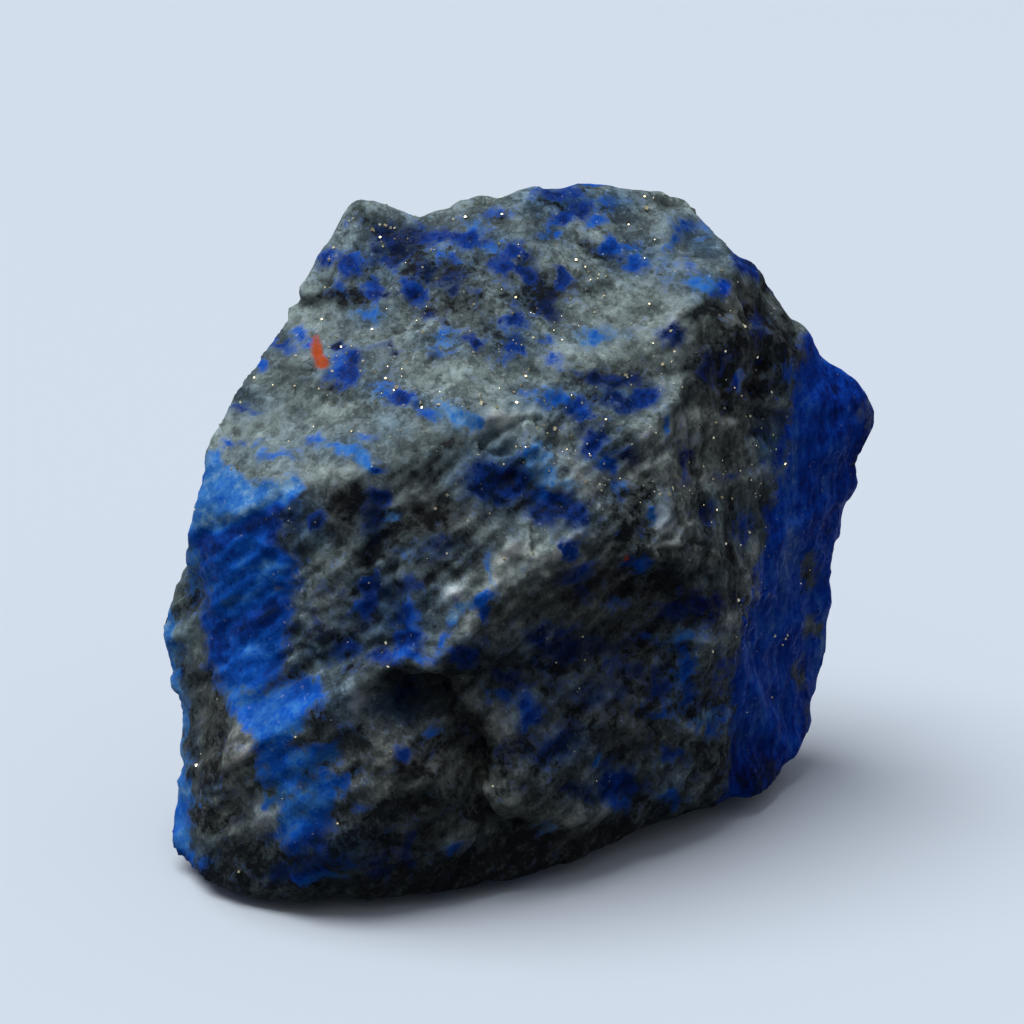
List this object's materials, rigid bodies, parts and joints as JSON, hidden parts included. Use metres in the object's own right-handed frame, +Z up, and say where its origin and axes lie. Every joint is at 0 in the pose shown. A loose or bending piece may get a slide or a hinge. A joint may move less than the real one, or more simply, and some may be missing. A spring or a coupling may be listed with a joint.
{
  "type": "rough lapis lazuli stone",
  "caption": "Fist-sized broken piece of blue-veined lapis rock that stands on its flattest break, with a stepped front, a pitted right face and a blue band down its side.",
  "frame": {"origin": "middle of the stone's footprint, on the surface that it stands on", "axes": "+Z up; +X along the stone's width, towards the side with the blue band; -Y towards the stepped front"},
  "size_m": [0.0936, 0.0762, 0.0833],
  "materials": {
    "lapis_rock": null
  },
  "bodies": {
    "root": {"lapis_stone": "lapis_rock"}
  },
  "joints": []
}
